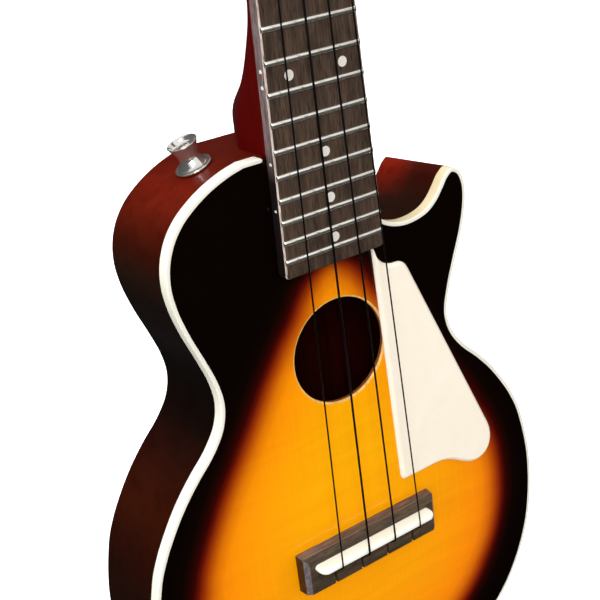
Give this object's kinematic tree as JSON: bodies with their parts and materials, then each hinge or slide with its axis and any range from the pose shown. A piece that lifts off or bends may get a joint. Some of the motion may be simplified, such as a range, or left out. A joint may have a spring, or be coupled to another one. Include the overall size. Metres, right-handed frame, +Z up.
{
  "type": "ukulele",
  "caption": "Single-cutaway concert ukulele with a bound flat top, round soundhole, pickguard, fixed bridge, fretted neck and geared tuning machines.",
  "frame": {"origin": "on the centre line at the fretboard end of the nut, in the plane of the soundboard's face, where the fingerboard is glued to the neck; a hanger's fork holds the headstock's root here", "axes": "+Z up the neck towards the headstock, +Y into the body towards its flat back, +X to the treble side, where the cutaway is"},
  "size_m": [0.2036, 0.0584, 0.611],
  "materials": {
    "sunburst_top": "gloss",
    "red_rim": "gloss",
    "neck_wood": "gloss",
    "rosewood": "satin",
    "bare_wood": "matte",
    "binding": "gloss",
    "pickguard": "satin",
    "bone": "satin",
    "inlay": "gloss",
    "fret_metal": "polished",
    "chrome": "polished",
    "tuner_button": "gloss",
    "string": "satin"
  },
  "bodies": {
    "instrument": {"soundboard": "sunburst_top", "back_plate": "red_rim", "side_bass": "red_rim", "side_treble": "red_rim", "top_binding": "binding", "neck_block": "bare_wood", "tail_block": "bare_wood", "top_lining": "bare_wood", "back_lining": "bare_wood", "top_brace_upper": "bare_wood", "top_brace_lower": "bare_wood", "bridge_plate": "bare_wood", "back_brace": "bare_wood", "pickguard": "pickguard", "bridge": "rosewood", "saddle": "bone", "fretboard": "rosewood", "nut": "bone", "neck": "neck_wood", "fret_01": "fret_metal", "fret_02": "fret_metal", "fret_03": "fret_metal", "fret_04": "fret_metal", "fret_05": "fret_metal", "fret_06": "fret_metal", "fret_07": "fret_metal", "fret_08": "fret_metal", "fret_09": "fret_metal", "fret_10": "fret_metal", "fret_11": "fret_metal", "fret_12": "fret_metal", "fret_13": "fret_metal", "fret_14": "fret_metal", "fret_15": "fret_metal", "fret_16": "fret_metal", "fret_17": "fret_metal", "fret_18": "fret_metal", "fret_19": "fret_metal", "string_1": "string", "string_2": "string", "string_3": "string", "string_4": "string", "tuner_housing_1": "chrome", "tuner_housing_2": "chrome", "tuner_housing_3": "chrome", "tuner_housing_4": "chrome", "strap_button_shoulder": "chrome", "strap_button_tail": "chrome"},
    "knob_1": {"tuner_button_1": "tuner_button", "worm_shaft_1": "chrome"},
    "post_1": {"string_post_1": "chrome"},
    "knob_2": {"tuner_button_2": "tuner_button", "worm_shaft_2": "chrome"},
    "post_2": {"string_post_2": "chrome"},
    "knob_3": {"tuner_button_3": "tuner_button", "worm_shaft_3": "chrome"},
    "post_3": {"string_post_3": "chrome"},
    "knob_4": {"tuner_button_4": "tuner_button", "worm_shaft_4": "chrome"},
    "post_4": {"string_post_4": "chrome"}
  },
  "joints": [
    {"name": "knob_1_turn", "type": "hinge", "parent": "instrument", "child": "knob_1", "pos_m": [-0.0185, 0.02349, 0.04192], "axis": [-1, 0, 0], "continuous": true},
    {"name": "post_1_turn", "type": "hinge", "parent": "instrument", "child": "post_1", "pos_m": [-0.0185, 0.00707, 0.03826], "axis": [0, -0.9781, 0.2079], "continuous": true},
    {"name": "knob_2_turn", "type": "hinge", "parent": "instrument", "child": "knob_2", "pos_m": [-0.0185, 0.03222, 0.08301], "axis": [-1, 0, 0], "continuous": true},
    {"name": "post_2_turn", "type": "hinge", "parent": "instrument", "child": "post_2", "pos_m": [-0.0185, 0.0158, 0.07934], "axis": [0, -0.9781, 0.2079], "continuous": true},
    {"name": "knob_3_turn", "type": "hinge", "parent": "instrument", "child": "knob_3", "pos_m": [0.0185, 0.03222, 0.08301], "axis": [1, 0, 0], "continuous": true},
    {"name": "post_3_turn", "type": "hinge", "parent": "instrument", "child": "post_3", "pos_m": [0.0185, 0.0158, 0.07934], "axis": [0, -0.9781, 0.2079], "continuous": true},
    {"name": "knob_4_turn", "type": "hinge", "parent": "instrument", "child": "knob_4", "pos_m": [0.0185, 0.02349, 0.04192], "axis": [1, 0, 0], "continuous": true},
    {"name": "post_4_turn", "type": "hinge", "parent": "instrument", "child": "post_4", "pos_m": [0.0185, 0.00707, 0.03826], "axis": [0, -0.9781, 0.2079], "continuous": true}
  ],
  "couplings": [
    {"joint": "post_1_turn", "follows": "knob_1_turn", "ratio": -0.071429},
    {"joint": "post_2_turn", "follows": "knob_2_turn", "ratio": -0.071429},
    {"joint": "post_3_turn", "follows": "knob_3_turn", "ratio": 0.071429},
    {"joint": "post_4_turn", "follows": "knob_4_turn", "ratio": 0.071429}
  ]
}
